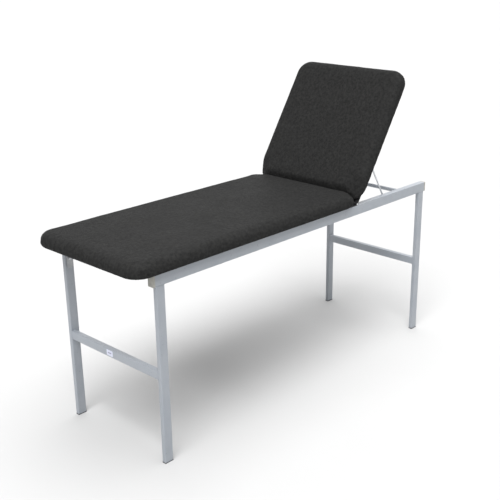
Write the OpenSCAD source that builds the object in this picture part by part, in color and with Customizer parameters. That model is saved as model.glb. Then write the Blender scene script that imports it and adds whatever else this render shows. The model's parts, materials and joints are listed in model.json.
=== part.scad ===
// Two-section examination couch: welded tube frame, fixed body pad and a hinged backrest
// held by a swinging prop. Millimetres, +Z up, floor at z = 0, foot end towards -X.
// "near" parts are on the -Y side and "far" parts on the +Y side.

/* [Frame] */
// Length over the legs, outer face to outer face
frame_len = 1626; // [1500:1:1700]
// Width over the legs and side rails
frame_w = 547; // [520:1:560]
// Height of the side rails' underside above the floor
rail_z = 694; // [600:1:760]
// Height of a side rail's section
rail_h = 43; // [40:1:50]
// Width of a side rail's section
rail_w = 28; // [26:1:32]
// Leg section along the couch
leg_x = 37; // [30:1:40]
// Leg section across the couch
leg_y = 18; // [16:1:20]
// Height of the crossbars' underside above the floor
crossbar_z = 336; // [200:1:450]
// Height of a crossbar's section
crossbar_h = 34; // [25:1:40]
// Depth of a crossbar's section along the couch
crossbar_d = 21; // [18:1:25]
// Wall thickness of every rectangular tube
wall = 1.5; // [1.2:0.1:2]

/* [Pads] */
// Width of both pads
pad_w = 598; // [580:1:620]
// Thickness of both pads, board included
pad_h = 54; // [52:1:56]
// How far both pads sit off the frame's middle, towards the far side
pad_side = 4; // [0:1:6]
// How far the body pad reaches past the foot legs
foot_overhang = 103.5; // [80:0.5:120]
// Length of the backrest pad
back_len = 608.5; // [560:0.5:620]
// Corner radius of the pads seen from above
pad_corner_r = 72; // [65:1:90]
// Rounding of the pads' upper edges
pad_top_r = 35; // [25:1:38]
// Rounding of the pads' lower edges
pad_low_r = 11; // [8:1:11]
// Rounding of the backrest's front edge where the two pads meet
back_nose_r = 20; // [18:1:22]
// How far that edge is set back from the underside's
back_bevel = 33.8; // [33.8:0.1:45]
// How far the same edge is set back in the corners
corner_bevel = 50; // [50:1:60]
// Rounding of the body pad's upper edge where the two pads meet
seat_end_r = 8; // [8:1:12]

/* [Backrest hinge] */
// Distance from the foot legs' outer face to the hinge axis
hinge_at = 1114.5; // [1100:0.5:1130]
// Angle of the raised backrest above the horizontal
back_angle = 57.2; // [50:0.1:57.2]
// Free space between the body pad and the hinge axis
body_pad_gap = 14.2; // [14.2:0.1:20]
// Free space between the hinge axis and the backrest pad
back_pad_gap = 3.2; // [3.2:0.1:5]

/* [Prop] */
// Distance of the prop's pivots from the hinge axis, towards the head end
prop_dx = 240; // [237:1:243]
// Drop of the prop's pivots below the hinge axis
prop_dz = 30; // [28:1:32]
// Length of a prop leg between its two eyes
prop_len = 223.8; // [223:0.1:225]
// Height of the prop bar's centre line below the hinge axis line, seen on the backrest
bar_drop = 16; // [16:0.1:17]

/* [Hidden] */

$fn = 48;
NEAR = -1;
FAR = 1;
SIDES = [NEAR, FAR];
EPS = 0.01;

// Rails and their end caps
rail_past_leg = 3.5;
cap_head_t = 9;
plug_wall = 2;
plug_gap = 0.1;
rail_cap_depth = 18;
rail_top = rail_z + rail_h;
rail_inner_y = frame_w / 2 - rail_w;
rail_mid_y = frame_w / 2 - rail_w / 2;
tube_r = 2.5;

// Everything is placed from the foot legs' outer face; the model is centred on its own length
rail_end_past_leg = rail_past_leg + cap_head_t;
foot_x = -(frame_len + rail_end_past_leg - foot_overhang) / 2;
head_x = foot_x + frame_len;

// Feet
foot_flange_t = 3;
foot_flange_past = 1;
foot_insert_h = 20;

// Tie tube between the rails, under the raised backrest
tie_at = 1510;
tie_z = 707.5;
tie_r = 8.5;

// Brackets between leg and rail, each with one bolt
bracket_w = 26;
bracket_t = 3;
bracket_drop = 66;
bolt_r = 3;
bolt_head_r = 5.5;
bolt_head_h = 3.5;
bolt_down = 28;

// Blank label on the foot crossbar
label_w = 36;
label_h = 23;
label_t = 0.5;
label_y = 18;

// Pads: a plywood board, foam over and round it, a cover turned in under the board, and a lining
strip_t = 3;
strip_w = 20;
strip_end = 28;
pad_z = rail_top + strip_t;
skin_t = 1.2;
board_t = 12;
board_in = 11;
hem_w = 45;
lining_t = 0.6;
lining_gap = 1;
lining_up = skin_t - lining_t;

// Tabs on the rails' inner faces that hold the body pad
tab_w = 25;
tab_reach = 24;
tab_drop = 26;
tab_t = 3;
tab_first = 90;
tab_step = 450;
TABS = [0 : 2];
tab_screw_r = 2.5;
screw_head_r = 4.8;
screw_head_h = 2.4;
tab_screw_len = 10;
tab_z = pad_z + lining_up;
tab_screw_y = rail_inner_y - tab_reach / 2 - 1;

// Hinges: two leaves, three barrels and a pin on each rail
hinge_x = foot_x + hinge_at;
hinge_r = 5;
hinge_lift = 5.5;
hinge_z = rail_top + hinge_lift;
hinge_pin_r = 3;
hinge_run = 0.05;
leaf_t = 2.5;
leaf_len = 48;
leaf_clear = 0.8;
barrel_len = 9;
barrel_gap = 0.3;
pin_head_r = 4;
pin_head_t = 1.5;
leaf_screw_r = 2;
leaf_screw_at = [31, 43];
leaf_screw_deep = 10;

// Backrest pad, measured from the hinge axis
pad_drop = hinge_lift - strip_t;
body_pad_len = foot_overhang + hinge_at - body_pad_gap;

// Bumpers under the backrest
bumper_r = 8;
bumper_t = 2.5;
bumper_at = [250, 480];

// Prop: two legs on studs, a bar across their upper eyes, and notched racks under the backrest
prop_x = hinge_x + prop_dx;
prop_z = hinge_z - prop_dz;
prop_rod_r = 3.7;
prop_eye_r = 7;
prop_eye_w = 7.8;
prop_bar_r = 5;
prop_bar_cap_t = 0.9;
prop_bar_cap_r = 6.5;
stud_r = 4;
stud_run = 0.05;
stud_washer_t = 1.2;
stud_washer_r = 7;
stud_head_t = 3;
stud_thread_r = 3;
prop_side_gap = 0.3;
rack_y = 150;
rack_t = 4;
rack_from = 182;
rack_to = 486;
rack_teeth_gap = 0.6;
rack_top = -pad_drop + lining_up;
rack_h = rack_top + bar_drop - prop_bar_r - rack_teeth_gap;
notch_r = 5.3;
notch_count = 9;
rack_flange_w = 14;
rack_flange_t = 2;
rack_screw_r = 2;
rack_head_r = 3.8;
rack_head_h = 1.6;
rack_screw_deep = 10;
rack_screw_at = [192, 262, 406, 476];
prop_eye_y = rail_inner_y - stud_washer_t - prop_side_gap - prop_eye_w / 2;

// The prop pivot as seen from the backrest, and the bar's place and the leg's angle that follow
pivot_u = prop_dx * cos(back_angle) - prop_dz * sin(back_angle);
pivot_w = -prop_dx * sin(back_angle) - prop_dz * cos(back_angle);
bar_u = pivot_u + sqrt(pow(prop_len, 2) - pow(-bar_drop - pivot_w, 2));
bar_dx = bar_u * cos(back_angle) + bar_drop * sin(back_angle) - prop_dx;
bar_dz = bar_u * sin(back_angle) - bar_drop * cos(back_angle) + prop_dz;
prop_angle = atan2(bar_dz, bar_dx);
bar_u_flat = prop_dx + sqrt(pow(prop_len, 2) - pow(prop_dz - bar_drop, 2));
notch_step = (bar_u_flat - bar_u) / (notch_count - 1);

frame_colour = [0.66, 0.68, 0.71];
cap_colour = [0.62, 0.61, 0.58];
dark_colour = [0.10, 0.10, 0.11];
cover_colour = [0.13, 0.13, 0.13];
foam_colour = [0.88, 0.84, 0.70];
board_colour = [0.72, 0.56, 0.38];
zinc_colour = [0.70, 0.71, 0.72];

// ---- shapes that repeat ----

// Rectangle with round corners, centred
module round_rect(w, h, r) {
    square([w - 2 * r, h], center = true);
    square([w, h - 2 * r], center = true);
    for (sx = [-1, 1]) {
        for (sy = [-1, 1]) {
            translate([sx * (w / 2 - r), sy * (h / 2 - r)]) circle(r);
        }
    }
}

// Rectangular tube along +Z with open ends
module box_tube(w, h, len) {
    linear_extrude(len) {
        difference() {
            round_rect(w, h, tube_r);
            round_rect(w - 2 * wall, h - 2 * wall, tube_r - wall);
        }
    }
}

// Hollow plug that fits inside such a tube, along +Z
module plug_insert(w, h, len) {
    inner_w = w - 2 * wall - 2 * plug_gap;
    inner_h = h - 2 * wall - 2 * plug_gap;
    linear_extrude(len) {
        difference() {
            round_rect(inner_w, inner_h, tube_r - wall);
            round_rect(inner_w - 2 * plug_wall, inner_h - 2 * plug_wall, 0.5);
        }
    }
}

// Turns +Z into +Y or into +X
module along_y() {
    rotate([-90, 0, 0]) children();
}
module along_x() {
    rotate([90, 0, 90]) children();
}

// Round bar along Y between two places
module y_bar(y0, y1, r) {
    translate([0, y0, 0]) along_y() cylinder(h = y1 - y0, r = r);
}

// Ring with a round rim, cut off this far below the plane of its widest place
module rim(disc_r, rim_r, down) {
    rotate_extrude($fn = 40) {
        intersection() {
            translate([0, -down]) square([disc_r, down + rim_r]);
            translate([disc_r - rim_r, 0]) circle(rim_r, $fn = 40);
        }
    }
}

// Cushion from x = 0 to len, centred on y, standing on z = 0. Its start is where the two pads meet:
// there the upper edge has its own rounding and is set back, further in the corners than between them.
module cushion(len, w, h, corner_r, top_r, low_r, edge_r, edge_back, corner_back) {
    across = w / 2 - corner_r;
    hull() {
        for (side = SIDES) {
            y = side * across;
            translate([corner_r, y, low_r]) rim(corner_r, low_r, low_r);
            translate([corner_r + corner_back, y, h - top_r]) rim(corner_r, top_r, 0);
            translate([len - corner_r, y, low_r]) rim(corner_r, low_r, low_r);
            translate([len - corner_r, y, h - top_r]) rim(corner_r, top_r, 0);
        }
        translate([edge_back + edge_r, 0, h - edge_r]) y_bar(-across, across, edge_r);
    }
}

module cushion_core(len, edge_r, edge_back, corner_back) {
    translate([skin_t, 0, skin_t]) {
        cushion(len - 2 * skin_t, pad_w - 2 * skin_t, pad_h - 2 * skin_t, pad_corner_r - skin_t,
                pad_top_r - skin_t, pad_low_r - skin_t, edge_r - skin_t, edge_back, corner_back);
    }
}

// Flat slab with round corners under a cushion of this length, inset on all sides
module pad_slab(len, inset, z, t) {
    translate([len / 2, 0, z]) {
        linear_extrude(t) round_rect(len - 2 * inset, pad_w - 2 * inset, pad_corner_r - inset);
    }
}

module pad_board(len) {
    pad_slab(len, board_in, skin_t, board_t);
}

module pad_foam(len, edge_r, edge_back, corner_back) {
    difference() {
        cushion_core(len, edge_r, edge_back, corner_back);
        pad_slab(len, board_in, 0, skin_t + board_t);
    }
}

module pad_cover(len, edge_r, edge_back, corner_back) {
    difference() {
        cushion(len, pad_w, pad_h, pad_corner_r, pad_top_r, pad_low_r, edge_r, edge_back, corner_back);
        cushion_core(len, edge_r, edge_back, corner_back);
        pad_board(len);
        pad_slab(len, hem_w, -1, skin_t + 2);
    }
}

module pad_lining(len) {
    pad_slab(len, hem_w + lining_gap, skin_t - lining_t, lining_t);
}

// ---- places ----

module at_foot(x) {
    translate([foot_x + x, 0, 0]) children();
}

// The backrest's own axes: +X up along it from the hinge, +Z out of its front face
module on_backrest() {
    translate([hinge_x, 0, hinge_z]) rotate([0, -back_angle, 0]) children();
}

module on_back_pad() {
    on_backrest() translate([back_pad_gap, pad_side, -pad_drop]) children();
}

// The prop's own axes: +X along a leg, from its stud to the bar
module on_prop() {
    translate([prop_x, 0, prop_z]) rotate([0, -prop_angle, 0]) children();
}

// ---- frame ----

module leg(at, side) {
    y = side * (frame_w / 2 - leg_y / 2);
    color(frame_colour) {
        at_foot(at + leg_x / 2) translate([0, y, foot_flange_t]) {
            difference() {
                box_tube(leg_x, leg_y, rail_z - foot_flange_t);
                translate([0, -side * leg_y / 2, rail_z - foot_flange_t - bolt_down]) {
                    y_bar(-wall - 1, wall + 1, bolt_r);
                }
            }
        }
    }
}

module foot_plug(at, side) {
    y = side * (frame_w / 2 - leg_y / 2);
    color(dark_colour) {
        at_foot(at + leg_x / 2) translate([0, y, 0]) {
            linear_extrude(foot_flange_t) {
                round_rect(leg_x + 2 * foot_flange_past, leg_y + 2 * foot_flange_past, tube_r + 1);
            }
            translate([0, 0, foot_flange_t]) plug_insert(leg_x, leg_y, foot_insert_h);
        }
    }
}

module leg_foot_near() { leg(0, NEAR); }
module leg_foot_far() { leg(0, FAR); }
module leg_head_near() { leg(frame_len - leg_x, NEAR); }
module leg_head_far() { leg(frame_len - leg_x, FAR); }
module foot_plug_foot_near() { foot_plug(0, NEAR); }
module foot_plug_foot_far() { foot_plug(0, FAR); }
module foot_plug_head_near() { foot_plug(frame_len - leg_x, NEAR); }
module foot_plug_head_far() { foot_plug(frame_len - leg_x, FAR); }

module crossbar(at) {
    inner_w = frame_w - 2 * leg_y;
    color(frame_colour) {
        at_foot(at + crossbar_d / 2) translate([0, -inner_w / 2, crossbar_z + crossbar_h / 2]) {
            along_y() box_tube(crossbar_d, crossbar_h, inner_w);
        }
    }
}

module crossbar_foot() { crossbar(0); }
module crossbar_head() { crossbar(frame_len - leg_x); }

module rail(side) {
    len = frame_len + 2 * rail_past_leg;
    color(frame_colour) {
        difference() {
            at_foot(-rail_past_leg) translate([0, side * rail_mid_y, rail_z + rail_h / 2]) {
                along_x() box_tube(rail_w, rail_h, len);
            }
            for (at = leaf_screw_at) {
                translate([hinge_x - at, side * rail_mid_y, rail_top - wall - 1]) {
                    cylinder(h = wall + 2, r = leaf_screw_r);
                }
            }
            translate([prop_x, side * (rail_inner_y + wall / 2), prop_z]) {
                y_bar(-wall, wall, stud_thread_r);
            }
        }
    }
}

module rail_near() { rail(NEAR); }
module rail_far() { rail(FAR); }

// A cap's head stands proud of the rail's end; dir is -1 at the foot end and 1 at the head end
module rail_cap(dir, side) {
    end_x = dir < 0 ? foot_x - rail_past_leg : head_x + rail_past_leg;
    color(cap_colour) {
        translate([end_x, side * rail_mid_y, rail_z + rail_h / 2]) {
            translate([dir < 0 ? -cap_head_t : 0, 0, 0]) along_x() {
                linear_extrude(cap_head_t) round_rect(rail_w, rail_h, tube_r);
            }
            translate([dir < 0 ? 0 : -rail_cap_depth, 0, 0]) {
                along_x() plug_insert(rail_w, rail_h, rail_cap_depth);
            }
        }
    }
}

module rail_cap_foot_near() { rail_cap(-1, NEAR); }
module rail_cap_foot_far() { rail_cap(-1, FAR); }
module rail_cap_head_near() { rail_cap(1, NEAR); }
module rail_cap_head_far() { rail_cap(1, FAR); }

module head_tie() {
    color(frame_colour) {
        at_foot(tie_at) translate([0, 0, tie_z]) {
            difference() {
                y_bar(-rail_inner_y, rail_inner_y, tie_r);
                y_bar(-rail_inner_y - 1, rail_inner_y + 1, tie_r - wall);
            }
        }
    }
}

// Zinc-plated strap with a round lower end on a leg's inner face, with a flange under the rail
module leg_bracket(at, side) {
    inner_y = side * (frame_w / 2 - leg_y);
    flange_w = rail_w - leg_y;
    color(zinc_colour) {
        at_foot(at + leg_x / 2) translate([0, inner_y - side * bracket_t / 2, rail_z]) {
            difference() {
                union() {
                    translate([0, 0, -(bracket_drop - bracket_w / 2) / 2]) {
                        cube([bracket_w, bracket_t, bracket_drop - bracket_w / 2], center = true);
                    }
                    translate([0, 0, -(bracket_drop - bracket_w / 2)]) {
                        y_bar(-bracket_t / 2, bracket_t / 2, bracket_w / 2);
                    }
                    translate([0, -side * (flange_w - bracket_t) / 2, -bracket_t / 2]) {
                        cube([bracket_w, flange_w, bracket_t], center = true);
                    }
                }
                translate([0, 0, -bolt_down]) y_bar(-bracket_t, bracket_t, bolt_r);
            }
        }
    }
}

module leg_brackets(side) {
    for (at = [0, frame_len - leg_x]) {
        leg_bracket(at, side);
    }
}

module leg_bracket_near() { leg_brackets(NEAR); }
module leg_bracket_far() { leg_brackets(FAR); }

module bracket_bolts() {
    color(zinc_colour) {
        for (at = [0, frame_len - leg_x], side = SIDES) {
            face_y = frame_w / 2 - leg_y - bracket_t;
            at_foot(at + leg_x / 2) translate([0, 0, rail_z - bolt_down]) {
                scale([1, side, 1]) {
                    y_bar(face_y - bolt_head_h, face_y, bolt_head_r);
                    y_bar(face_y - EPS, face_y + bracket_t + wall, bolt_r);
                }
            }
        }
    }
}

module blank_label() {
    color([0.85, 0.85, 0.90]) {
        at_foot(0) translate([-label_t / 2, label_y, crossbar_z + crossbar_h / 2]) {
            cube([label_t, label_w, label_h], center = true);
        }
    }
}

// ---- body pad and what holds it ----

module rest_strip(side) {
    color(dark_colour) {
        x1 = hinge_x - leaf_len - strip_end - foot_x;
        translate([foot_x + strip_end, side * rail_mid_y - strip_w / 2, rail_top]) {
            cube([x1 - strip_end, strip_w, strip_t]);
        }
    }
}

module rest_strip_near() { rest_strip(NEAR); }
module rest_strip_far() { rest_strip(FAR); }

function tab_at(i) = tab_first + i * tab_step;

module seat_tabs(side) {
    color(frame_colour) {
        for (i = TABS) {
            at_foot(tab_at(i)) scale([1, side, 1]) {
                translate([-tab_w / 2, rail_inner_y - tab_t, tab_z - tab_drop]) {
                    cube([tab_w, tab_t, tab_drop]);
                }
                difference() {
                    translate([-tab_w / 2, rail_inner_y - tab_reach, tab_z - tab_t]) {
                        cube([tab_w, tab_reach, tab_t]);
                    }
                    translate([0, tab_screw_y, tab_z - tab_t - 1]) {
                        cylinder(h = tab_t + 2, r = tab_screw_r);
                    }
                }
            }
        }
    }
}

module seat_tabs_near() { seat_tabs(NEAR); }
module seat_tabs_far() { seat_tabs(FAR); }

// Shanks of the screws that go up through the tabs; also cut from what they pass through
module seat_screw_shanks() {
    for (i = TABS, side = SIDES) {
        at_foot(tab_at(i)) translate([0, side * tab_screw_y, tab_z - tab_t]) {
            cylinder(h = tab_t + tab_screw_len, r = tab_screw_r);
        }
    }
}

module seat_screws() {
    color(zinc_colour) {
        seat_screw_shanks();
        for (i = TABS, side = SIDES) {
            at_foot(tab_at(i)) translate([0, side * tab_screw_y, tab_z - tab_t - screw_head_h]) {
                cylinder(h = screw_head_h, r = screw_head_r);
            }
        }
    }
}

// The body pad's own axes: +X from the end at the hinge towards the foot end
module on_body_pad() {
    translate([hinge_x - body_pad_gap, pad_side, pad_z]) mirror([1, 0, 0]) children();
}

module body_board() {
    color(board_colour) {
        difference() {
            on_body_pad() pad_board(body_pad_len);
            seat_screw_shanks();
        }
    }
}

module body_foam() {
    color(foam_colour) on_body_pad() pad_foam(body_pad_len, seat_end_r, 0, 0);
}

module body_cover() {
    color(cover_colour) on_body_pad() pad_cover(body_pad_len, seat_end_r, 0, 0);
}

module body_lining() {
    color(dark_colour) {
        difference() {
            on_body_pad() pad_lining(body_pad_len);
            seat_screw_shanks();
        }
    }
}

// ---- hinges ----

// Barrels along Y about the hinge axis; which is -1, 0 or 1 from one end of the hinge to the other
module barrel(side, which, bore_r) {
    pitch = (rail_w - barrel_len) / 2;
    len = which == 0 ? rail_w - 2 * barrel_len - 2 * barrel_gap : barrel_len;
    y = side * rail_mid_y + which * pitch;
    difference() {
        y_bar(y - len / 2, y + len / 2, hinge_r);
        y_bar(y - len, y + len, bore_r);
    }
}

// Leaf plate that reaches its barrels only where it carries them, with holes for its screws
module leaf(side, top, holds_middle) {
    mid_w = rail_w - 2 * barrel_len - 2 * barrel_gap;
    y = side * rail_mid_y;
    reach = hinge_r + leaf_clear;
    difference() {
        union() {
            translate([reach, y - rail_w / 2, top - leaf_t]) {
                cube([leaf_len - reach, rail_w, leaf_t]);
            }
            if (holds_middle) {
                translate([0, y - mid_w / 2, top - leaf_t]) cube([reach + 1, mid_w, leaf_t]);
            } else {
                for (end = [-1, 1]) {
                    barrel_y = y + end * (rail_w - barrel_len) / 2;
                    translate([0, barrel_y - barrel_len / 2, top - leaf_t]) {
                        cube([reach + 1, barrel_len, leaf_t]);
                    }
                }
            }
        }
        y_bar(y - rail_w, y + rail_w, hinge_pin_r + hinge_run);
        for (at = leaf_screw_at) {
            translate([at, y, top - leaf_t - 1]) cylinder(h = leaf_t + 2, r = leaf_screw_r);
        }
    }
}

module hinge_fixed(side) {
    color(dark_colour) translate([hinge_x, 0, hinge_z]) {
        barrel(side, -1, hinge_pin_r);
        barrel(side, 1, hinge_pin_r);
        mirror([1, 0, 0]) leaf(side, leaf_t - hinge_lift, false);
    }
}

module hinge_moving(side) {
    color(dark_colour) on_backrest() {
        barrel(side, 0, hinge_pin_r + hinge_run);
        leaf(side, -pad_drop, true);
    }
}

module hinge_pin(side) {
    color(zinc_colour) translate([hinge_x, 0, hinge_z]) {
        y_bar(side * rail_mid_y - rail_w / 2, side * rail_mid_y + rail_w / 2, hinge_pin_r);
        outer = side * frame_w / 2;
        y_bar(min(outer, outer + side * pin_head_t), max(outer, outer + side * pin_head_t), pin_head_r);
    }
}

module hinge_fixed_near() { hinge_fixed(NEAR); }
module hinge_fixed_far() { hinge_fixed(FAR); }
module hinge_moving_near() { hinge_moving(NEAR); }
module hinge_moving_far() { hinge_moving(FAR); }
module hinge_pin_near() { hinge_pin(NEAR); }
module hinge_pin_far() { hinge_pin(FAR); }

module hinge_screws_frame() {
    color(zinc_colour) {
        for (at = leaf_screw_at, side = SIDES) {
            translate([hinge_x - at, side * rail_mid_y, rail_top - wall]) {
                cylinder(h = wall + leaf_t, r = leaf_screw_r);
            }
        }
    }
}

// Screw shanks on the backrest side, also cut from what they pass through
module hinge_back_shanks() {
    for (at = leaf_screw_at, side = SIDES) {
        on_backrest() translate([at, side * rail_mid_y, -pad_drop - leaf_t]) {
            cylinder(h = leaf_t + leaf_screw_deep, r = leaf_screw_r);
        }
    }
}

module hinge_screws_back() {
    color(zinc_colour) hinge_back_shanks();
}

// ---- backrest ----

module rack_shanks() {
    for (at = rack_screw_at, side = SIDES) {
        on_backrest() translate([at, side * (rack_y - rack_flange_w / 2), rack_top - rack_flange_t]) {
            cylinder(h = rack_flange_t + rack_screw_deep, r = rack_screw_r);
        }
    }
}

module back_board() {
    color(board_colour) {
        difference() {
            on_back_pad() pad_board(back_len);
            hinge_back_shanks();
            rack_shanks();
        }
    }
}

module back_foam() {
    color(foam_colour) on_back_pad() pad_foam(back_len, back_nose_r, back_bevel, corner_bevel);
}

module back_cover() {
    color(cover_colour) {
        difference() {
            on_back_pad() pad_cover(back_len, back_nose_r, back_bevel, corner_bevel);
            hinge_back_shanks();
        }
    }
}

module back_lining() {
    color(dark_colour) {
        difference() {
            on_back_pad() pad_lining(back_len);
            rack_shanks();
        }
    }
}

module back_bumpers() {
    color(dark_colour) {
        for (at = bumper_at, side = SIDES) {
            on_backrest() translate([at, side * rail_mid_y, -pad_drop - bumper_t]) {
                cylinder(h = bumper_t, r = bumper_r);
            }
        }
    }
}

// Notched rack with a screwed flange, under the backrest
module rack(side) {
    color(zinc_colour) on_backrest() scale([1, side, 1]) {
        difference() {
            translate([rack_from, rack_y, rack_top - rack_h]) {
                cube([rack_to - rack_from, rack_t, rack_h]);
            }
            for (i = [0 : notch_count - 1]) {
                translate([bar_u + i * notch_step, 0, rack_top - rack_h]) {
                    y_bar(rack_y - 1, rack_y + rack_t + 1, notch_r);
                }
            }
        }
        difference() {
            translate([rack_from, rack_y - rack_flange_w, rack_top - rack_flange_t]) {
                cube([rack_to - rack_from, rack_flange_w + EPS, rack_flange_t]);
            }
            for (at = rack_screw_at) {
                translate([at, rack_y - rack_flange_w / 2, rack_top - rack_flange_t - 1]) {
                    cylinder(h = rack_flange_t + 2, r = rack_screw_r);
                }
            }
        }
    }
}

module rack_near() { rack(NEAR); }
module rack_far() { rack(FAR); }

module rack_screws() {
    color(zinc_colour) {
        rack_shanks();
        for (at = rack_screw_at, side = SIDES) {
            on_backrest() {
                y = side * (rack_y - rack_flange_w / 2);
                translate([at, y, rack_top - rack_flange_t - rack_head_h]) {
                    cylinder(h = rack_head_h, r = rack_head_r);
                }
            }
        }
    }
}

// ---- prop ----

module prop_leg(side) {
    y0 = side * prop_eye_y - prop_eye_w / 2;
    y1 = side * prop_eye_y + prop_eye_w / 2;
    color(zinc_colour) on_prop() {
        difference() {
            union() {
                y_bar(y0, y1, prop_eye_r);
                translate([prop_len, 0, 0]) y_bar(y0, y1, prop_eye_r);
                translate([0, side * prop_eye_y, 0]) along_x() {
                    cylinder(h = prop_len, r = prop_rod_r);
                }
            }
            y_bar(y0 - 1, y1 + 1, stud_r + stud_run);
            translate([prop_len, 0, 0]) y_bar(y0 - 1, y1 + 1, prop_bar_r);
        }
    }
}

module prop_leg_near() { prop_leg(NEAR); }
module prop_leg_far() { prop_leg(FAR); }

module prop_bar() {
    end_y = prop_eye_y + prop_eye_w / 2;
    color(zinc_colour) on_prop() translate([prop_len, 0, 0]) {
        difference() {
            y_bar(-end_y, end_y, prop_bar_r);
            y_bar(-end_y - 1, end_y + 1, prop_bar_r - wall);
        }
    }
}

module prop_bar_caps() {
    end_y = prop_eye_y + prop_eye_w / 2;
    color(dark_colour) on_prop() translate([prop_len, 0, 0]) {
        for (side = SIDES) {
            scale([1, side, 1]) {
                y_bar(end_y, end_y + prop_bar_cap_t, prop_bar_cap_r);
                y_bar(end_y - prop_eye_w, end_y + EPS, prop_bar_r - wall);
            }
        }
    }
}

module prop_stud(side) {
    inner = prop_eye_y - prop_eye_w / 2 - prop_side_gap;
    color(zinc_colour) translate([prop_x, 0, prop_z]) scale([1, side, 1]) {
        y_bar(rail_inner_y - EPS, rail_inner_y + wall, stud_thread_r);
        y_bar(rail_inner_y - stud_washer_t, rail_inner_y, stud_washer_r);
        y_bar(inner - EPS, rail_inner_y - stud_washer_t + EPS, stud_r);
        y_bar(inner - stud_head_t, inner, stud_washer_r);
    }
}

module prop_stud_near() { prop_stud(NEAR); }
module prop_stud_far() { prop_stud(FAR); }

// ---- one line for each node ----

leg_foot_near();
leg_foot_far();
leg_head_near();
leg_head_far();
foot_plug_foot_near();
foot_plug_foot_far();
foot_plug_head_near();
foot_plug_head_far();
crossbar_foot();
crossbar_head();
rail_near();
rail_far();
rail_cap_foot_near();
rail_cap_foot_far();
rail_cap_head_near();
rail_cap_head_far();
head_tie();
leg_bracket_near();
leg_bracket_far();
bracket_bolts();
blank_label();
rest_strip_near();
rest_strip_far();
seat_tabs_near();
seat_tabs_far();
seat_screws();
body_board();
body_foam();
body_cover();
body_lining();
back_board();
back_foam();
back_cover();
back_lining();
back_bumpers();
hinge_fixed_near();
hinge_fixed_far();
hinge_moving_near();
hinge_moving_far();
hinge_pin_near();
hinge_pin_far();
hinge_screws_frame();
hinge_screws_back();
prop_leg_near();
prop_leg_far();
prop_bar();
prop_bar_caps();
prop_stud_near();
prop_stud_far();
rack_near();
rack_far();
rack_screws();
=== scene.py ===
import json
import math

import bmesh
import bpy
import numpy as np
from mathutils import Matrix, Vector, noise


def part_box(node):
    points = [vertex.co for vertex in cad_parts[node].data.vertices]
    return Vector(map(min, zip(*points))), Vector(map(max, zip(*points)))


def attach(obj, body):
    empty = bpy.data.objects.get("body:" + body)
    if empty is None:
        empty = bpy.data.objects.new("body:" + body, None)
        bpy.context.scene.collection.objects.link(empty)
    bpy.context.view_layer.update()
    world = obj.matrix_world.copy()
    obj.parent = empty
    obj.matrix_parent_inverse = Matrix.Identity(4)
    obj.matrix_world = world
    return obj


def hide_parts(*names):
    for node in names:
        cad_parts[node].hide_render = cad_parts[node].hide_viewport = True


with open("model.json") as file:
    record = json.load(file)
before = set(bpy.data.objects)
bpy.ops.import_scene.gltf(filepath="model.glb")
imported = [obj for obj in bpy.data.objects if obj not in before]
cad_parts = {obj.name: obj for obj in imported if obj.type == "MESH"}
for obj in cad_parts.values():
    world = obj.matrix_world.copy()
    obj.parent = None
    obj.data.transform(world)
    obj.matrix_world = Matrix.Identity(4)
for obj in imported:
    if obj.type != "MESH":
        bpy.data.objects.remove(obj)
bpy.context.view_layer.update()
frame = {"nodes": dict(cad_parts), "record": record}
scene = bpy.context.scene
MM = 0.001
CORNERS = ((1, 1), (-1, 1), (-1, -1), (1, -1))


# ---- camera ----

def add_camera():
    """The camera stands off the foot end's near corner and looks down along the couch."""
    focal_px, frame_px, sensor = 873.0, 500.0, 36.0
    yaw, pitch = math.radians(41.76), math.radians(19.99)
    before_foot, beside, height = 1.7551, 2.4237, 1.7894
    data = bpy.data.cameras.new("camera")
    data.sensor_width = sensor
    data.lens = focal_px / frame_px * sensor
    data.shift_x = -0.07
    data.shift_y = 0.02
    data.clip_start = 0.05
    data.clip_end = 100.0
    cam = bpy.data.objects.new("camera", data)
    scene.collection.objects.link(cam)
    cam.location = (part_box("leg_foot_near")[0].x - before_foot, -beside, height)
    level = math.cos(pitch)
    look = Vector((math.cos(yaw) * level, math.sin(yaw) * level, -math.sin(pitch)))
    cam.rotation_euler = look.to_track_quat("-Z", "Y").to_euler()
    scene.camera = cam


add_camera()


# ---- materials ----

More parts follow.
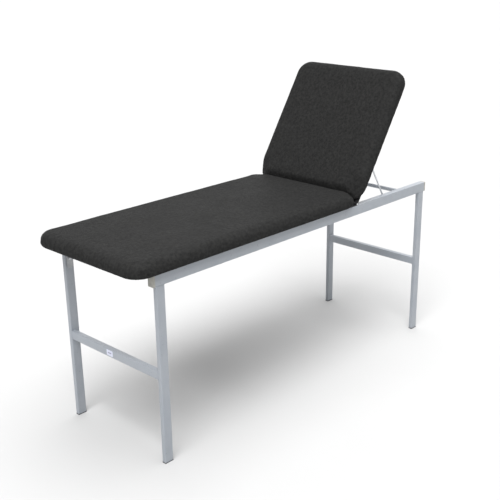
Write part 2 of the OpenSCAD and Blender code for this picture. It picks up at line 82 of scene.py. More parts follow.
class Shader:
    """A node material with one Principled shader and short calls for its textures."""

    def __init__(self, name, color, roughness, metallic=0.0):
        self.material = bpy.data.materials.new(name)
        self.material.use_nodes = True
        self.tree = self.material.node_tree
        self.tree.nodes.clear()
        output = self.add("ShaderNodeOutputMaterial")
        self.bsdf = self.add("ShaderNodeBsdfPrincipled")
        self.link(self.bsdf.outputs["BSDF"], output.inputs["Surface"])
        self.bsdf.inputs["Base Color"].default_value = (*color, 1.0)
        self.bsdf.inputs["Roughness"].default_value = roughness
        self.bsdf.inputs["Metallic"].default_value = metallic
        self.coords = self.add("ShaderNodeTexCoord").outputs["Object"]

    def add(self, kind):
        return self.tree.nodes.new(kind)

    def link(self, a, b):
        self.tree.links.new(a, b)

    def stretched(self, scale):
        mapping = self.add("ShaderNodeMapping")
        mapping.inputs["Scale"].default_value = scale
        self.link(self.coords, mapping.inputs["Vector"])
        return mapping.outputs["Vector"]

    def noise(self, size, detail=3.0, rough=0.5, vector=None):
        """Noise whose features are about size metres across, from 0 to 1."""
        node = self.add("ShaderNodeTexNoise")
        node.inputs["Scale"].default_value = 1.0 / size
        node.inputs["Detail"].default_value = detail
        node.inputs["Roughness"].default_value = rough
        self.link(vector or self.coords, node.inputs["Vector"])
        return node.outputs["Fac"]

    def cells(self, size, feature="F1", vector=None):
        node = self.add("ShaderNodeTexVoronoi")
        node.feature = feature
        node.inputs["Scale"].default_value = 1.0 / size
        self.link(vector or self.coords, node.inputs["Vector"])
        return node.outputs["Distance"]

    def span(self, value, low, high, from_low=0.0, from_high=1.0):
        """A value moved from one range to another, clamped."""
        node = self.add("ShaderNodeMapRange")
        node.inputs["From Min"].default_value = from_low
        node.inputs["From Max"].default_value = from_high
        node.inputs["To Min"].default_value = low
        node.inputs["To Max"].default_value = high
        self.link(value, node.inputs["Value"])
        return node.outputs["Result"]

    def math(self, operation, a, b):
        node = self.add("ShaderNodeMath")
        node.operation = operation
        for socket, value in zip(node.inputs, (a, b)):
            if isinstance(value, (int, float)):
                socket.default_value = value
            else:
                self.link(value, socket)
        return node.outputs["Value"]

    def mix(self, factor, a, b):
        """Between two colours by a factor from 0 to 1."""
        node = self.add("ShaderNodeMix")
        node.data_type = "RGBA"
        self.link(factor, node.inputs["Factor"])
        for socket, value in ((node.inputs[6], a), (node.inputs[7], b)):
            if isinstance(value, tuple):
                socket.default_value = (*value, 1.0)
            else:
                self.link(value, socket)
        return node.outputs[2]

    def patchy(self, size, a, b, low=0.3, high=0.7, detail=3.0):
        """Base colour that drifts between two colours over patches of this size."""
        self.color(self.mix(self.span(self.noise(size, detail), 0.0, 1.0, low, high), a, b))

    def color(self, value):
        self.link(value, self.bsdf.inputs["Base Color"])

    def roughness(self, value):
        self.link(value, self.bsdf.inputs["Roughness"])

    def bumps(self, *layers):
        """Stacked bumps, each (height from 0 to 1, depth in metres, strength)."""
        normal = None
        for height, depth, strength in layers:
            node = self.add("ShaderNodeBump")
            node.inputs["Distance"].default_value = depth
            node.inputs["Strength"].default_value = strength
            self.link(height, node.inputs["Height"])
            if normal is not None:
                self.link(normal, node.inputs["Normal"])
            normal = node.outputs["Normal"]
        self.link(normal, self.bsdf.inputs["Normal"])

    def set(self, socket, value):
        self.bsdf.inputs[socket].default_value = value


def powder_coat():
    s = Shader("powder_coat", (0.355, 0.378, 0.412), 0.4)
    s.patchy(0.09, (0.326, 0.352, 0.390), (0.354, 0.378, 0.411), 0.35, 0.65, 4.0)
    s.roughness(s.span(s.noise(0.012, 3.0), 0.27, 0.38, 0.3, 0.7))
    s.bumps((s.noise(0.0014, 2.0), 0.00005, 0.5), (s.noise(0.00035, 1.0), 0.00002, 0.4))
    return s.material


def moulded_plastic(name, color, roughness):
    s = Shader(name, color, roughness)
    s.patchy(0.02, tuple(c * 0.88 for c in color), color, 0.35, 0.65)
    s.roughness(s.span(s.noise(0.004, 2.0), roughness - 0.06, roughness + 0.08, 0.3, 0.7))
    s.bumps((s.cells(0.0006), 0.00004, 0.5))
    return s.material


def zinc_plate(name, shade, duller):
    """Zinc plate with drawing marks; a worn plate is darker and rougher."""
    s = Shader(name, (0.62, 0.64, 0.66), 0.32, 1.0)
    drawn = s.noise(0.0012, 2.0, vector=s.stretched((1.0, 0.12, 1.0)))
    cool, pale = (tuple(c * shade for c in color) for color in ((0.52, 0.54, 0.57), (0.68, 0.69, 0.70)))
    s.patchy(0.015, cool, pale)
    s.roughness(s.span(drawn, 0.24 + duller, 0.42 + duller, 0.3, 0.7))
    s.bumps((drawn, 0.00003, 0.4))
    return s.material


def black_paint():
    s = Shader("black_paint", (0.012, 0.012, 0.013), 0.42)
    s.patchy(0.006, (0.010, 0.010, 0.011), (0.03, 0.03, 0.031), 0.4, 0.75, 4.0)
    s.roughness(s.span(s.noise(0.003, 3.0), 0.34, 0.55, 0.3, 0.7))
    s.bumps((s.noise(0.0009, 2.0), 0.00005, 0.5))
    return s.material


def vinyl():
    """Black coated fabric: small rounded pebbles, bumpy over a few millimetres, painted shade where that
    relief is low, and nearly no gloss.
    """
    s = Shader("vinyl", (0.022, 0.022, 0.022), 0.55)
    s.set("Specular IOR Level", 0.02)
    pebbles = s.cells(0.0013, "SMOOTH_F1")
    fine = s.noise(0.0005, 3.0)
    mottled = s.noise(0.012, 5.0, 0.75)
    worn = s.noise(0.16, 4.0)
    grain = s.span(pebbles, 1.0, 0.0, 0.0, 0.7)
    # Painted shade: the colour is darker where the relief is low, between the pebbles and in the mottle's
    # dips.
    low_relief_shade = s.math("MULTIPLY", s.span(grain, 0.75, 1.0), s.span(mottled, 0.0, 1.0, 0.36, 0.64))
    s.color(s.mix(low_relief_shade, (0.017, 0.017, 0.017), (0.033, 0.033, 0.0325)))
    s.roughness(s.math("ADD", s.span(worn, 0.48, 0.56, 0.3, 0.7), s.span(grain, 0.08, 0.0)))
    s.bumps((mottled, 0.0014, 0.9), (grain, 0.00025, 0.8), (fine, 0.00006, 0.5))
    return s.material


def rubber():
    s = Shader("rubber", (0.02, 0.02, 0.02), 0.7)
    s.patchy(0.01, (0.014, 0.014, 0.014), (0.034, 0.033, 0.032), 0.35, 0.7, 4.0)
    s.bumps((s.noise(0.0008, 3.0), 0.00008, 0.6))
    return s.material


def plywood():
    s = Shader("plywood", (0.55, 0.40, 0.24), 0.65)
    along = s.stretched((0.12, 1.0, 1.0))
    grain = s.noise(0.006, 6.0, 0.62, along)
    s.color(s.mix(s.span(grain, 0.0, 1.0, 0.3, 0.7), (0.40, 0.27, 0.15), (0.62, 0.47, 0.29)))
    s.bumps((grain, 0.0001, 0.5))
    return s.material


def foam():
    s = Shader("foam", (0.80, 0.74, 0.52), 0.9)
    pores = s.cells(0.0009)
    # Painted shade: the colour is darker in the pores' hollows.
    s.color(s.mix(s.span(pores, 0.0, 1.0, 0.0, 0.5), (0.62, 0.55, 0.34), (0.84, 0.78, 0.56)))
    s.bumps((pores, 0.0003, 0.8))
    return s.material


def lining_cloth():
    """Thin black non-woven cloth with its pressed grid of dots."""
    s = Shader("lining_cloth", (0.022, 0.022, 0.024), 0.92)
    fibres = s.noise(0.0006, 5.0, 0.7)
    dots = s.cells(0.0016)
    s.color(s.mix(s.span(fibres, 0.0, 1.0, 0.35, 0.7), (0.014, 0.014, 0.016), (0.045, 0.045, 0.048)))
    s.bumps((s.span(dots, 0.0, 1.0, 0.1, 0.45), 0.00010, 0.7), (fibres, 0.00008, 0.6))
    return s.material


def label_plate():
    s = Shader("label_plate", (0.66, 0.68, 0.80), 0.35)
    s.patchy(0.01, (0.63, 0.65, 0.77), (0.68, 0.70, 0.82))
    s.bumps((s.noise(0.002, 2.0), 0.00002, 0.3))
    return s.material


MATERIALS = {
    "frame_paint": powder_coat(),
    "foot_plastic": moulded_plastic("foot_plastic", (0.045, 0.046, 0.05), 0.5),
    "cap_plastic": moulded_plastic("cap_plastic", (0.375, 0.37, 0.335), 0.45),
    "zinc_fasteners": zinc_plate("zinc_plate", 1.0, 0.0),
    "hinge_black": black_paint(),
    "vinyl": vinyl(),
    "rubber": rubber(),
    "plywood": plywood(),
    "foam": foam(),
    "lining": lining_cloth(),
    "label": label_plate(),
    "bar_cap_plastic": moulded_plastic("bar_cap_plastic", (0.02, 0.02, 0.021), 0.5),
}
MATERIALS["zinc_prop"] = MATERIALS["zinc_fasteners"]


def paint_cad_nodes():
    slots = {p["node"]: p["material_slot"] for p in frame["record"]["subparts"]}
    worn = zinc_plate("worn_zinc", 0.62, 0.2)
    for name, obj in frame["nodes"].items():
        obj.data.materials.clear()
        obj.data.materials.append(worn if name.startswith("leg_bracket") else MATERIALS[slots[name]])


paint_cad_nodes()


# ---- where things are ----

TILT = next(j for j in frame["record"]["behaviour"]["joints"] if j["name"] == "backrest_tilt")
HINGE = Vector(TILT["pos_m"])
RAISED = math.radians(-TILT["range_deg"][0])
HEM_W = 45 * MM
BOARD_IN = 11 * MM
START_SMALLER, MOST_SWELL = 1.2 * MM, 1.8 * MM
SQUEEZE = 4.5 * MM
SEAT_BULGE, BACK_BULGE, FLANK_BULGE = 10 * MM, 7 * MM, 9 * MM
LINING_STEP = 1.1 * MM


def coords(mesh):
    flat = np.empty(len(mesh.vertices) * 3)
    mesh.vertices.foreach_get("co", flat)
    return flat.reshape(-1, 3)


def set_coords(mesh, co):
    mesh.vertices.foreach_set("co", co.ravel())
    mesh.update()


def normals(mesh):
    flat = np.empty(len(mesh.vertices) * 3)
    mesh.vertices.foreach_get("normal", flat)
    return flat.reshape(-1, 3)


def smoothstep(low, high, x):
    """From 0 at low to 1 at high, where high may be the smaller."""
    t = np.clip((x - low) / (high - low), 0.0, 1.0)
    return t * t * (3.0 - 2.0 * t)


def finished(bm, name):
    """The mesh made from a BMesh, which is freed."""
    mesh = bpy.data.meshes.new(name)
    bm.to_mesh(mesh)
    bm.free()
    return mesh


def new_object(name, mesh, slot, body):
    """A piece in the scene with its material, riding on its body."""
    obj = bpy.data.objects.new(name, mesh)
    scene.collection.objects.link(obj)
    mesh.materials.append(MATERIALS[slot])
    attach(obj, body)
    return obj


# ---- cushions ----

class Pad:
    """A pad's own axes: u along it from its foot or hinge end, v across it, w up from its underside."""

    def __init__(self, name, body, cover, foam, axes):
        self.name, self.body, self.cover, self.foam = name, body, cover, foam
        self.axes = axes
        local = self.to_local(coords(frame["nodes"][cover].data))
        self.low, self.high = local.min(axis=0), local.max(axis=0)
        self.corner = 72 * MM

    def half_width(self):
        return (self.high[1] - self.low[1]) / 2

    def to_local(self, co):
        inverse = np.array(self.axes.inverted())
        return co @ inverse[:3, :3].T + inverse[:3, 3]

    def to_world(self, co):
        matrix = np.array(self.axes)
        return co @ matrix[:3, :3].T + matrix[:3, 3]

    def inset(self, co):
        """How far each point is inside the pad's outline, and the outline's nearest point."""
        middle = np.clip(co[:, :2], self.low[:2] + self.corner, self.high[:2] - self.corner)
        away = co[:, :2] - middle
        reach = np.linalg.norm(away, axis=1)
        nearest = middle + away * (self.corner / np.maximum(reach, 1e-9))[:, None]
        return self.corner - reach, nearest

    def walk(self, inset, step, corner_step):
        """Points along the outline at this inset: (u, v, outward angle), closer together in the corners."""
        radius = self.corner - inset
        (u0, v0), (u1, v1) = self.low[:2] + self.corner, self.high[:2] - self.corner
        centres = [Vector((u1, v1)), Vector((u0, v1)), Vector((u0, v0)), Vector((u1, v0))]
        found = []
        for i, centre in enumerate(centres):
            turns = max(2, round(radius * math.pi / 2 / corner_step))
            for k in range(turns):
                angle = math.pi / 2 * (i + (k + 0.5) / turns)
                found.append((*(centre + radius * Vector((math.cos(angle), math.sin(angle)))), angle))
            angle = math.pi / 2 * (i + 1)
            out = radius * Vector((math.cos(angle), math.sin(angle)))
            following = centres[(i + 1) % 4]
            count = round((following - centre).length / step)
            for k in range(count):
                found.append((*(centre.lerp(following, (k + 0.5) / count) + out), angle))
        return found


def closed_solid(pad):
    """The space the pad fills, as one closed mesh in its own axes: the hull of its CAD cover."""
    bm = bmesh.new()
    for co in pad.to_local(coords(frame["nodes"][pad.cover].data)):
        bm.verts.new(co)
    hull = bmesh.ops.convex_hull(bm, input=bm.verts)
    inside = {g for g in hull["geom_interior"] + hull["geom_unused"] if isinstance(g, bmesh.types.BMVert)}
    bmesh.ops.delete(bm, geom=list(inside), context="VERTS")
    return finished(bm, pad.name)


def apply_modifiers(obj):
    """Swaps the object's mesh for the one its modifiers make."""
    graph = bpy.context.evaluated_depsgraph_get()
    mesh = bpy.data.meshes.new_from_object(obj.evaluated_get(graph))
    obj.modifiers.clear()
    obj.data = mesh


def swell(obj, pressure, cap, frames):
    """Cloth simulation under pressure with the underside held; no point moves further than the cap."""
    start = coords(obj.data)
    underside = np.flatnonzero(start[:, 2] < start[:, 2].min() + 1.5 * MM)
    obj.vertex_groups.new(name="held").add([int(i) for i in underside], 1.0, "REPLACE")
    cloth = obj.modifiers.new("cloth", "CLOTH")
    settings = dict(vertex_group_mass="held", use_pressure=True, uniform_pressure_force=pressure, quality=4,
                    mass=0.3, tension_stiffness=30.0, compression_stiffness=30.0, shear_stiffness=10.0,
                    bending_stiffness=2.0)
    for name, value in settings.items():
        setattr(cloth.settings, name, value)
    cloth.settings.effector_weights.gravity = 0.0
    cloth.collision_settings.use_collision = False
    cloth.point_cache.frame_end = frames
    for number in range(1, frames + 1):
        scene.frame_set(number)
    graph = bpy.context.evaluated_depsgraph_get()
    moved = coords(obj.evaluated_get(graph).data) - start
    obj.modifiers.clear()
    obj.vertex_groups.clear()
    scene.frame_set(1)
    reach = np.maximum(np.linalg.norm(moved, axis=1), 1e-9)
    set_coords(obj.data, start + moved * (cap * np.tanh(reach / cap) / reach)[:, None])


def soft_noise(co, size, seed):
    """Smooth noise about -1 to 1 at each point, with features of this size."""
    shift = Vector((seed * 3.7, seed * 1.3, seed * 7.1))
    return np.array([noise.noise(Vector(p) / size + shift) for p in co])


def pull_tight(pad, co, out, rng):
    """Puckers where the cover is pulled round the lower edge, and close pleats in the corners."""
    apart, apart_in_corner = 44 * MM, 12 * MM
    pucker_widths, pucker_depths = (6.0, 11.0), (0.4, 1.3)
    pleat_widths, pleat_depths = (3.5, 4.5), (1.2, 2.4)
    inset, nearest = pad.inset(co)
    low_down, at_rim = 1.0 - smoothstep(14 * MM, 34 * MM, co[:, 2]), 1.0 - smoothstep(3 * MM, 9 * MM, inset)
    depth = np.zeros(len(co))
    for u, v, angle in pad.walk(0.0, apart, apart_in_corner):
        in_corner = abs(math.sin(2 * angle)) > 0.05
        along = rng.uniform(-0.25, 0.25) * (apart_in_corner if in_corner else apart)
        place = np.array((u - along * math.sin(angle), v + along * math.cos(angle)))
        width = rng.uniform(*(pleat_widths if in_corner else pucker_widths)) * MM
        deep = rng.uniform(*(pleat_depths if in_corner else pucker_depths)) * MM
        away = np.linalg.norm(nearest - place, axis=1)
        depth = np.maximum(depth, deep * np.exp(-((away / width) ** 2)))
    return co - out * (depth * (low_down * at_rim))[:, None]


def cover_board(pad, co):
    """The hem lies flat under the board, whose edge is BOARD_IN inside the outline, and rises beyond it."""
    flat_within, slope_beyond = 0.35 * MM, 1.1
    inset, _ = pad.inset(co)
    limit = flat_within + slope_beyond * np.maximum(BOARD_IN - 1 * MM - inset, 0.0)
    under = (co[:, 2] < 8 * MM) & (inset > BOARD_IN - 6 * MM)
    co[:, 2] = np.where(under, np.minimum(co[:, 2], limit), co[:, 2])
    return co


def squeeze_seat(pad, co):
    """The body pad's upper edge bulges. Returns how far its corners fill out, at each point's height."""
    at_end = smoothstep(24 * MM, 4 * MM, pad.high[0] - co[:, 0])
    upper = smoothstep(18 * MM, 36 * MM, co[:, 2])
    co[:, 0] += SQUEEZE * at_end * upper
    return SEAT_BULGE * smoothstep(4 * MM, 18 * MM, co[:, 2])


def squeeze_backrest(co, out, from_middle, across):
    """The backrest's lower edge is dented in its middle, and its flanks widen. Returns the same."""
    lower = (1.0 - smoothstep(26 * MM, 36 * MM, co[:, 2])) * smoothstep(12 * MM, 18 * MM, co[:, 2])
    at_end = 1.0 - smoothstep(36 * MM, 70 * MM, co[:, 0])
    co[:, 0] += SQUEEZE * at_end * lower * (1.0 - smoothstep(0.0, 36 * MM, across))
    flank = out[:, 1] ** 2 * smoothstep(18 * MM, 34 * MM, co[:, 2]) * smoothstep(0.0, 40 * MM, co[:, 0])
    co[:, 1] += FLANK_BULGE * flank * smoothstep(135 * MM, 70 * MM, co[:, 0]) * np.sign(from_middle)
    return BACK_BULGE * smoothstep(24 * MM, 42 * MM, co[:, 2])


def press_together(pad, co, out):
    """Where the pads meet, the body pad bulges into the backrest. Both fill out in the corners beside it."""
    centre = (pad.low[1] + pad.high[1]) / 2
    across = np.abs(co[:, 1] - centre) - (pad.half_width() - pad.corner)
    if pad.body == "frame":
        full, way = squeeze_seat(pad, co), 1
        along = np.maximum(co[:, 0] - (pad.high[0] - pad.corner), 0.0)
    else:
        full, way = squeeze_backrest(co, out, co[:, 1] - centre, across), -1
        along = np.maximum(pad.low[0] + pad.corner - co[:, 0], 0.0)
    beside = np.maximum(across, 0.0)
    reach = np.maximum(np.hypot(along, beside), 1 * MM)
    bulge = full * 2 * along * beside / reach ** 2 * smoothstep(26 * MM, 60 * MM, reach)
    co[:, 0] += way * bulge * along / reach
    co[:, 1] += bulge * beside / reach * np.sign(co[:, 1] - centre)
    return co


def turn_in_hem(pad, co):
    """The underside steps up inside the turned-in hem, to where the lining lies."""
    inset, _ = pad.inset(co)
    below = 1.0 - smoothstep(1.5 * MM, 3.0 * MM, co[:, 2])
    inner = smoothstep(HEM_W - 1.5 * MM, HEM_W + 1.5 * MM, inset) * below
    co[:, 2] = co[:, 2] * (1.0 - inner) + LINING_STEP * inner
    return co


def add_cushion(pad, voxel, seed):
    """Hull, remesh, swell, one subdivision, then dents, puckers, the hem and the meeting edges."""
    obj = bpy.data.objects.new(pad.name, closed_solid(pad))
    scene.collection.objects.link(obj)
    remesh = obj.modifiers.new("remesh", "REMESH")
    remesh.mode = "VOXEL"
    remesh.voxel_size = voxel
    even = obj.modifiers.new("even", "SMOOTH")
    even.factor = 0.5
    even.iterations = 4
    apply_modifiers(obj)
    co, out = coords(obj.data), normals(obj.data)
    above = smoothstep(10 * MM, 22 * MM, co[:, 2])
    set_coords(obj.data, co - out * (START_SMALLER * above)[:, None])
    swell(obj, pressure=4.0, cap=MOST_SWELL, frames=20)
    obj.modifiers.new("finer", "SUBSURF").levels = 1
    apply_modifiers(obj)
    rng = np.random.default_rng(seed)
    co, out = coords(obj.data), normals(obj.data)
    above = smoothstep(3 * MM, 20 * MM, co[:, 2])
    wide_dent, small_dent = 0.55 * MM, 0.25 * MM
    dents = wide_dent * soft_noise(co, 0.11, seed) + small_dent * soft_noise(co, 0.035, seed + 5)
    co = co + out * (dents * above)[:, None]
    co = turn_in_hem(pad, cover_board(pad, pull_tight(pad, co, out, rng)))
    co = press_together(pad, co, out)
    set_coords(obj.data, pad.to_world(co))
    obj.data.shade_smooth()
    obj.data.materials.clear()
    obj.data.materials.append(MATERIALS["vinyl"])
    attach(obj, pad.body)
    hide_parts(pad.cover, pad.foam)


def add_staples(pad, rng):
    """A row of wire staples along the hem's inner edge, each a little out of line."""
    bm = bmesh.new()
    wire, crown = 0.6 * MM, 10 * MM
    for u, v, angle in pad.walk(HEM_W - 7 * MM, 34 * MM, 16 * MM):
        turn = Matrix.Rotation(angle + math.pi / 2 + rng.uniform(-0.15, 0.15), 4, "Z")
        place = Matrix.Translation((u, v, -wire * 0.35)) @ turn
        bmesh.ops.create_cone(bm, cap_ends=True, segments=8, radius1=wire, radius2=wire, depth=crown,
                              matrix=place @ Matrix.Rotation(math.pi / 2, 4, "Y"))
        for end in (-1, 1):
            ball = place @ Matrix.Translation((end * crown / 2, 0.0, 0.2 * MM))
            bmesh.ops.create_uvsphere(bm, u_segments=8, v_segments=5, radius=wire * 1.25, matrix=ball)
    mesh = finished(bm, pad.name + "_staples")
    set_coords(mesh, pad.to_world(coords(mesh)))
    mesh.shade_smooth()
    new_object(pad.name + "_staples", mesh, "zinc_fasteners", pad.body)


PAD_DROP = 2.5 * MM
RAISED_TURN = Matrix.Rotation(-RAISED, 4, "Y")
body_pad = Pad("body_cushion", "frame", "body_cover", "body_foam",
               Matrix.Translation(Vector((0.0, 0.0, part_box("body_cover")[0].z))))
back_pad = Pad("back_cushion", "backrest", "back_cover", "back_foam",
               Matrix.Translation(HINGE) @ RAISED_TURN @ Matrix.Translation((0, 0, -PAD_DROP)))
add_cushion(body_pad, 7 * MM, 3)
add_cushion(back_pad, 6 * MM, 8)
for pad, seed in ((body_pad, 11), (back_pad, 12)):
    add_staples(pad, np.random.default_rng(seed))


def add_lining(pad, node, seed):
    """Thin cloth over the hem's opening: rings from its edge in to its middle line, a little slack."""
    gap, rings = HEM_W + 1 * MM, 14
    edge = [Vector(p[:2]) for p in pad.walk(gap, 12 * MM, 6 * MM)]
    half = pad.half_width() - gap
    middle = (pad.low[1] + pad.high[1]) / 2
    bm = bmesh.new()
    rows = []
    for ring in range(rings + 1):
        t = ring / rings
        row = []
        for at in edge:
            core = Vector((min(max(at.x, pad.low[0] + gap + half), pad.high[0] - gap - half), middle))
            flat = at.lerp(core, t)
            row.append(bm.verts.new((flat.x, flat.y, 0.0)))
        rows.append(row)
    for outer, inner in zip(rows, rows[1:]):
        for i in range(len(edge)):
            j = (i + 1) % len(edge)
            bm.faces.new((outer[i], inner[i], inner[j], outer[j]))
    bmesh.ops.remove_doubles(bm, verts=bm.verts, dist=0.3 * MM)
    mesh = finished(bm, pad.name + "_lining")
    co = coords(mesh)
    inset, _ = pad.inset(co)
    slack = smoothstep(gap, gap + 30 * MM, inset)
    pinned, sag, ripple = 0.6 * MM, 0.3 * MM, 0.35 * MM
    co[:, 2] = pinned - slack * (sag + ripple * soft_noise(co, 0.06, seed))
    set_coords(mesh, pad.to_world(co))
    mesh.shade_smooth()
    obj = new_object(pad.name + "_lining", mesh, "lining", pad.body)
    thick = obj.modifiers.new("thickness", "SOLIDIFY")
    thick.thickness = 0.3 * MM
    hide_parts(node)


add_lining(body_pad, "body_lining", 21)
add_lining(back_pad, "back_lining", 22)


# ---- welds, screws and label ----

def tube_along(bm, path, closed, radius_at):
    """A round bead through the points, with its radius given by the distance along it."""
    count, ring, travelled = len(path), 8, 0.0
    rows = []
    for i, at in enumerate(path):
        ahead = path[(i + 1) % count] if closed or i + 1 < count else at
        behind = path[i - 1] if closed or i else at
        forward = (ahead - behind).normalized()
        side = forward.orthogonal().normalized()
        up = forward.cross(side)
        radius = radius_at(travelled)
        rows.append([bm.verts.new(at + radius * (math.cos(a) * side + math.sin(a) * up))
                     for a in (2 * math.pi * k / ring for k in range(ring))])
        travelled += (ahead - at).length
    pairs = list(zip(rows, rows[1:])) + ([(rows[-1], rows[0])] if closed else [])
    for a, b in pairs:
        turn = min(range(ring), key=lambda k: (a[0].co - b[k].co).length)
        for k in range(ring):
            bm.faces.new((a[k], a[(k + 1) % ring], b[(k + 1 + turn) % ring], b[(k + turn) % ring]))
    if not closed:
        for row in (rows[0], rows[-1]):
            bm.faces.new(row)


def spread(points, closed, step):
    """The polyline through these points, cut into steps of about this length."""
    found = []
    legs = list(zip(points, points[1:] + points[:1])) if closed else list(zip(points, points[1:]))
    for a, b in legs:
        count = max(1, round((b - a).length / step))
        found += [a.lerp(b, k / count) for k in range(count)]
    return found if closed else found + [points[-1]]


def add_welds():
    """Rippled fillet beads where tubes meet: crossbars to legs, legs to rails and the tie to the rails."""
    bm = bmesh.new()
    rng = np.random.default_rng(5)
    bead, wave, wave_len = 1.5 * MM, 0.3 * MM, 1.3 * MM

    def ripple(distance):
        return bead + wave * abs(math.sin(distance / wave_len)) + rng.uniform(-0.1, 0.1) * MM

    for bar in ("crossbar_foot", "crossbar_head"):
        low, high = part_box(bar)
        outline = ((low.x, low.z), (high.x, low.z), (high.x, high.z), (low.x, high.z))
        for y in (low.y, high.y):
            ring = [Vector((x, y, z)) for x, z in outline]
            tube_along(bm, spread(ring, True, 1 * MM), True, ripple)
    for leg in ("leg_foot_near", "leg_foot_far", "leg_head_near", "leg_head_far"):
        low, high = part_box(leg)
        for x in (low.x, high.x):
            line = [Vector((x, low.y + 2 * MM, high.z)), Vector((x, high.y - 2 * MM, high.z))]
            tube_along(bm, spread(line, False, 1 * MM), False, ripple)
    low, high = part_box("head_tie")
    middle, radius, count = (low + high) / 2, (high.z - low.z) / 2, 52
    for y in (low.y, high.y):
        ring = [Vector((middle.x + radius * math.cos(a), y, middle.z + radius * math.sin(a)))
                for a in (math.tau * k / count for k in range(count))]
        tube_along(bm, ring, True, ripple)
    bmesh.ops.recalc_face_normals(bm, faces=bm.faces)
    mesh = finished(bm, "welds")
    mesh.shade_smooth()
    new_object("welds", mesh, "frame_paint", "frame")


add_welds()


def hexagon(angle):
    """The outline of a hexagonal recess, 1 at its corners."""
    return math.cos(math.pi / 6) / math.cos((angle + math.pi / 6) % (math.pi / 3) - math.pi / 6)


def cross(angle):
    """The outline of a cross recess, 1 at the arms' ends."""
    arm = 0.3
    near, far = sorted((abs(math.cos(angle)), abs(math.sin(angle))))
    return min(1.0 / far, arm / max(near, 1e-6)) if near > arm * far else 1.0 / far


def lathe(bm, place, profile, outline, segments=32):
    """Rings (radius, height, share of the outline's shape) about place's Z, closed at both ends."""
    rows = []
    for radius, height, share in profile:
        row = []
        for k in range(segments):
            angle = math.tau * k / segments
            r = radius * (1.0 - share + share * outline(angle))
            row.append(bm.verts.new(place @ Vector((r * math.cos(angle), r * math.sin(angle), height))))
        rows.append(row)
    for a, b in zip(rows, rows[1:]):
        for k in range(segments):
            j = (k + 1) % segments
            bm.faces.new((a[k], a[j], b[j], b[k]))
    bm.faces.new(rows[0][::-1])
    bm.faces.new(rows[-1])


def screw_profile(head_r, head_h, shank_r, shank_len, recess_r):
    """A domed head above height 0 with a recess in it, and its shank below."""
    dome = ((0.97, 0.0), (1.0, 0.12), (1.0, 0.42), (0.94, 0.66), (0.82, 0.85), (0.66, 0.96))
    return [(shank_r, -shank_len, 0.0), (shank_r, 0.0, 0.0),
            *((head_r * out, head_h * up, 0.0) for out, up in dome),
            (recess_r, head_h, 1.0), (recess_r * 0.92, head_h * 0.45, 1.0)]


def add_screws(name, places, profile, outline, body, node):
    """Screws at these places (each a matrix whose Z points out of the head), standing for one CAD node."""
    bm = bmesh.new()
    for place in places:
        lathe(bm, place, profile, outline)
    bmesh.ops.recalc_face_normals(bm, faces=bm.faces)
    mesh = finished(bm, name)
    obj = new_object(name, mesh, "zinc_fasteners", body)
    mesh.shade_smooth()
    obj.modifiers.new("edges", "EDGE_SPLIT").split_angle = math.radians(35)
    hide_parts(node)


def islands(node):
    """The lowest and highest corner of each separate solid in a CAD node, in the same order in each run."""
    bm = bmesh.new()
    bm.from_mesh(frame["nodes"][node].data)
    bmesh.ops.remove_doubles(bm, verts=bm.verts, dist=0.001 * MM)
    left, found = set(bm.verts), []
    while left:
        group, queue = set(), [left.pop()]
        while queue:
            v = queue.pop()
            group.add(v)
            for e in v.link_edges:
                w = e.other_vert(v)
                if w in left:
                    left.remove(w)
                    queue.append(w)
        co = np.array([v.co for v in group])
        found.append((co.min(axis=0), co.max(axis=0)))
    bm.free()
    return sorted(found, key=lambda corners: tuple(corners[0]))


HEAD_DOWN = Matrix.Rotation(math.pi, 4, "X")


def add_bolts():
    """A bolt through each leg's bracket, with its head on the frame's inner side."""
    head_r, head_h, shank_r, shank_len, recess_r = 5.5 * MM, 3.5 * MM, 3 * MM, 4.5 * MM, 2.2 * MM
    places = []
    for low, high in islands("bracket_bolts"):
        x, y, z = (low + high) / 2
        side = 1 if y > 0 else -1
        seat = low[1] + head_h if side > 0 else high[1] - head_h
        places.append(Matrix.Translation((x, seat, z)) @ Matrix.Rotation(side * math.pi / 2, 4, "X"))
    profile = screw_profile(head_r, head_h, shank_r, shank_len, recess_r)
    add_screws("bolts", places, profile, hexagon, "frame", "bracket_bolts")


def add_pad_screws():
    """The screws under the tabs that hold the body pad down."""
    head_r, head_h, shank_r, shank_len, recess_r = 4.8 * MM, 2.4 * MM, 2.5 * MM, 13 * MM, 2.9 * MM
    places = []
    for low, high in islands("seat_screws"):
        x, y, _ = (low + high) / 2
        places.append(Matrix.Translation((x, y, low[2] + head_h)) @ HEAD_DOWN)
    profile = screw_profile(head_r, head_h, shank_r, shank_len, recess_r)
    add_screws("pad_screws", places, profile, cross, "frame", "seat_screws")


def add_rack_screws():
    """The racks' screws, at right angles to the raised backrest's underside."""
    head_r, head_h, shank_r, shank_len, recess_r = 3.8 * MM, 1.6 * MM, 2 * MM, 12 * MM, 2.3 * MM
    whole_len = head_h + shank_len
    outward = np.array(RAISED_TURN.to_3x3() @ Vector((0, 0, -1)))
    places = []
    for low, high in islands("rack_screws"):
        seat = (low + high) / 2 + outward * (whole_len / 2 - head_h)
        places.append(Matrix.Translation(Vector(seat)) @ RAISED_TURN @ HEAD_DOWN)
    profile = screw_profile(head_r, head_h, shank_r, shank_len, recess_r)
    add_screws("rack_heads", places, profile, cross, "backrest", "rack_screws")


add_bolts()
add_pad_screws()
add_rack_screws()


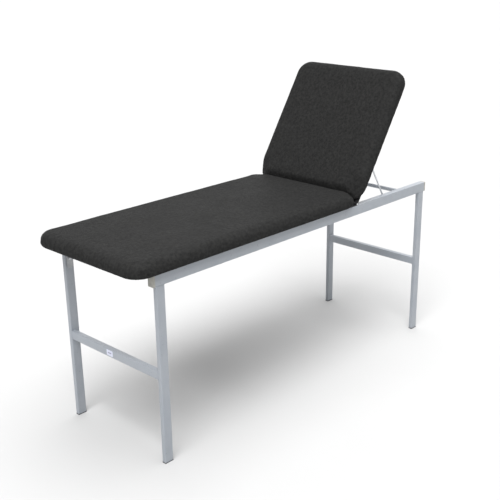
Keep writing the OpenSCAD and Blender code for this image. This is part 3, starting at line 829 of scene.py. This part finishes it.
def add_slab(name, width, height, corner, x0, x1, slot):
    """A plate with round corners from x0 to x1, centred on the CAD's blank label."""
    low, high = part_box("blank_label")
    centre = (low + high) / 2
    outline = []
    for i, (sy, sz) in enumerate(CORNERS):
        for k in range(7):
            a = math.pi / 2 * (i + k / 6)
            outline.append((sy * (width / 2 - corner) + corner * math.cos(a),
                            sz * (height / 2 - corner) + corner * math.sin(a)))
    bm = bmesh.new()
    rows = [[bm.verts.new((x, centre.y + y, centre.z + z)) for y, z in outline] for x in (x0, x1)]
    count = len(outline)
    for k in range(count):
        bm.faces.new((rows[0][k], rows[0][(k + 1) % count], rows[1][(k + 1) % count], rows[1][k]))
    bm.faces.new(rows[0][::-1])
    bm.faces.new(rows[1])
    bmesh.ops.recalc_face_normals(bm, faces=bm.faces)
    return new_object(name, finished(bm, name), slot, "frame")


def add_label():
    """A thin plate with round corners, and one plain mark on its face."""
    low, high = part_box("blank_label")
    width, height = high.y - low.y, high.z - low.z
    plate = add_slab("label_plate", width, height, 3 * MM, high.x, low.x + 0.1 * MM, "label")
    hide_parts("blank_label")
    mark_x = low.x + 0.12 * MM
    mark = add_slab("label_mark", width * 0.55, height * 0.22, 1.2 * MM, mark_x, low.x, "foot_plastic")
    mark.data.materials[0] = moulded_plastic("label_mark", (0.33, 0.34, 0.46), 0.4)


add_label()


# ---- floor and light ----

def add_floor():
    """A plain pale floor, so wide that its edge lies outside the photograph's view."""
    mesh = bpy.data.meshes.new("floor")
    half = 60.0
    corners = [(sx * half, sy * half, 0) for sx, sy in ((-1, -1), (1, -1), (1, 1), (-1, 1))]
    mesh.from_pydata(corners, [], [(0, 1, 2, 3)])
    floor = bpy.data.objects.new("floor", mesh)
    scene.collection.objects.link(floor)
    s = Shader("floor", (0.54, 0.54, 0.54), 0.8)
    s.patchy(0.5, (0.536, 0.536, 0.536), (0.544, 0.544, 0.544))
    mesh.materials.append(s.material)


def add_sun(name, towards, strength, spread):
    """A distant soft light, so that the floor is lit evenly as far as it can be seen."""
    data = bpy.data.lights.new(name, "SUN")
    data.energy = strength
    data.angle = math.radians(spread)
    lamp = bpy.data.objects.new(name, data)
    scene.collection.objects.link(lamp)
    lamp.rotation_euler = Vector(towards).to_track_quat("Z", "Y").to_euler()


def add_world():
    """Dim surroundings, bright low down and behind the head end."""
    world = bpy.data.worlds.new("studio")
    scene.world = world
    world.use_nodes = True
    tree = world.node_tree
    background = tree.nodes["Background"]
    background.inputs["Strength"].default_value = 1.0
    direction = tree.nodes.new("ShaderNodeTexCoord").outputs["Generated"]

    def ramp(value, *limits):
        """A smooth step over (from low, from high, to low, to high)."""
        node = tree.nodes.new("ShaderNodeMapRange")
        node.interpolation_type = "SMOOTHSTEP"
        for socket, number in zip(("From Min", "From Max", "To Min", "To Max"), limits):
            node.inputs[socket].default_value = number
        tree.links.new(value, node.inputs["Value"])
        return node.outputs["Result"]

    facing = tree.nodes.new("ShaderNodeVectorMath")
    facing.operation = "DOT_PRODUCT"
    facing.inputs[1].default_value = Vector((0.75, 0.62, 0.35)).normalized()
    tree.links.new(direction, facing.inputs[0])
    height = tree.nodes.new("ShaderNodeSeparateXYZ")
    tree.links.new(direction, height.inputs["Vector"])
    brighter = tree.nodes.new("ShaderNodeMath")
    brighter.operation = "MAXIMUM"
    tree.links.new(ramp(height.outputs["Z"], 0.08, 0.28, 0.93, 0.0), brighter.inputs[0])
    tree.links.new(ramp(facing.outputs["Value"], 0.45, 0.95, 0.18, 1.1), brighter.inputs[1])
    tree.links.new(brighter.outputs["Value"], background.inputs["Color"])


def add_light():
    """Two wide soft lights from above, in the dim world."""
    add_world()
    add_sun("key", (-0.56, -0.32, 1.0), 2.75, 35.0)
    add_sun("top", (0.1, -0.1, 1.0), 2.45, 60.0)
    scene.view_settings.view_transform = "Standard"


add_floor()
add_light()
